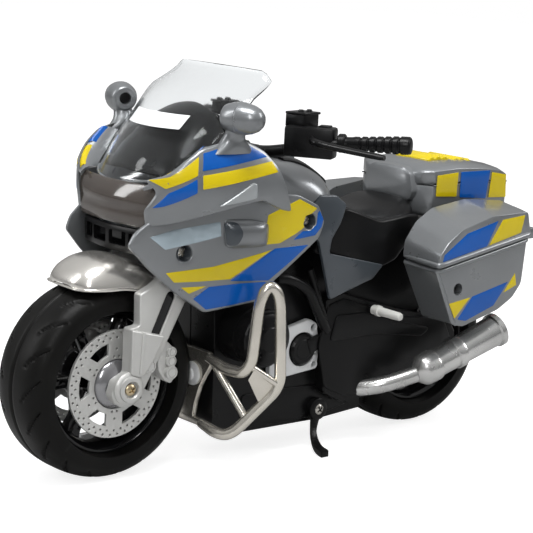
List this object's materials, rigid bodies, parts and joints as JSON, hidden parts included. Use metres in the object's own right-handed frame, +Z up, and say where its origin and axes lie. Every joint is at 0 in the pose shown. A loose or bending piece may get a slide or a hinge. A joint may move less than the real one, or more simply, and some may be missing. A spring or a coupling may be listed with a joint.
{
  "type": "toy police touring motorcycle",
  "caption": "Plastic toy touring motorcycle with fairing, luggage cases, crash bars, turning wheels, steering fork, side stand and a geared flywheel friction drive.",
  "frame": {"origin": "on the ground under the middle of the wheelbase, on the centre plane", "axes": "-Y forward, +X to the rider's left, +Z up"},
  "size_m": [0.1194, 0.22, 0.1449],
  "materials": {
    "silver_plastic": "silver-grey moulded, satin sheen",
    "grey_plastic": "dark grey moulded bodywork, semi-gloss",
    "black_plastic": "black moulded, satin",
    "gloss_black": "black, polished mould",
    "rubber": "soft black, matt",
    "clear_plastic": "clear, polished",
    "smoked_plastic": "smoked clear, polished",
    "red_plastic": "red, polished",
    "white_plastic": "natural white, satin",
    "steel": "bright turned steel",
    "brass": "brass-plated screw head"
  },
  "bodies": {
    "frame": {"beacon_pod_left": "grey_plastic", "beacon_pod_right": "grey_plastic", "belly_guard": "silver_plastic", "chassis_left": "black_plastic", "chassis_right": "black_plastic", "crash_bar_left": "silver_plastic", "crash_bar_right": "silver_plastic", "dash_hood": "gloss_black", "drive_cover": "black_plastic", "engine_cover_left": "silver_plastic", "engine_cover_right": "silver_plastic", "exhaust": "silver_plastic", "fairing_screw_front_left": "steel", "fairing_screw_front_right": "steel", "fairing_screw_rear_left": "steel", "fairing_screw_rear_right": "steel", "foot_peg_left": "white_plastic", "foot_peg_right": "white_plastic", "headlamp_glass": "smoked_plastic", "headlamp_unit": "silver_plastic", "lower_fairing_left": "grey_plastic", "lower_fairing_right": "grey_plastic", "nose_intake": "black_plastic", "pannier_left": "grey_plastic", "pannier_lid_left": "grey_plastic", "pannier_lid_right": "grey_plastic", "pannier_right": "grey_plastic", "rear_fender": "black_plastic", "seat": "black_plastic", "side_panel_left": "grey_plastic", "side_panel_right": "grey_plastic", "stand_screw": "steel", "tail_lamp": "red_plastic", "tank_cover": "grey_plastic", "tank_trim": "gloss_black", "top_case": "grey_plastic", "top_case_lid": "grey_plastic", "upper_fairing_left": "grey_plastic", "upper_fairing_right": "grey_plastic", "windscreen": "clear_plastic"},
    "steering": {"fork_left": "silver_plastic", "fork_right": "silver_plastic", "fork_yoke": "black_plastic", "front_fender": "silver_plastic", "handlebar": "black_plastic", "front_axle": "steel", "axle_screw": "brass"},
    "front_wheel": {"front_tyre": "rubber", "front_rim": "gloss_black", "front_disc_left": "silver_plastic", "front_disc_right": "silver_plastic"},
    "rear_wheel": {"rear_tyre": "rubber", "rear_rim": "gloss_black", "rear_axle": "steel", "final_gear": "white_plastic"},
    "idler_rear": {"idler_gear_rear": "white_plastic"},
    "idler_front": {"idler_gear_front": "white_plastic"},
    "flywheel": {"flywheel": "steel"},
    "kickstand": {"kickstand": "black_plastic"}
  },
  "joints": [
    {"name": "steering", "type": "hinge", "parent": "frame", "child": "steering", "pos_m": [0, -0.03706, 0.0994], "axis": [0, 0.5075, 0.8616], "range_deg": [-20, 20]},
    {"name": "front_wheel_spin", "type": "hinge", "parent": "steering", "child": "front_wheel", "pos_m": [0, -0.075, 0.035], "axis": [1, 0, 0], "continuous": true},
    {"name": "rear_wheel_spin", "type": "hinge", "parent": "frame", "child": "rear_wheel", "pos_m": [0, 0.075, 0.035], "axis": [1, 0, 0], "continuous": true},
    {"name": "idler_rear_spin", "type": "hinge", "parent": "frame", "child": "idler_rear", "pos_m": [-0.0172, 0.05792, 0.0326], "axis": [1, 0, 0], "continuous": true},
    {"name": "idler_front_spin", "type": "hinge", "parent": "frame", "child": "idler_front", "pos_m": [-0.0172, 0.03985, 0.03006], "axis": [1, 0, 0], "continuous": true},
    {"name": "flywheel_spin", "type": "hinge", "parent": "frame", "child": "flywheel", "pos_m": [-0.0088, 0.02623, 0.02815], "axis": [1, 0, 0], "continuous": true},
    {"name": "kickstand_fold", "type": "hinge", "parent": "frame", "child": "kickstand", "pos_m": [0.016, 0.016, 0.0151], "axis": [1, 0, 0], "range_deg": [0, 92]}
  ],
  "couplings": [
    {"joint": "idler_rear_spin", "follows": "rear_wheel_spin", "ratio": -0.88889},
    {"joint": "idler_front_spin", "follows": "rear_wheel_spin", "ratio": 0.88889},
    {"joint": "flywheel_spin", "follows": "rear_wheel_spin", "ratio": -1.7778}
  ]
}
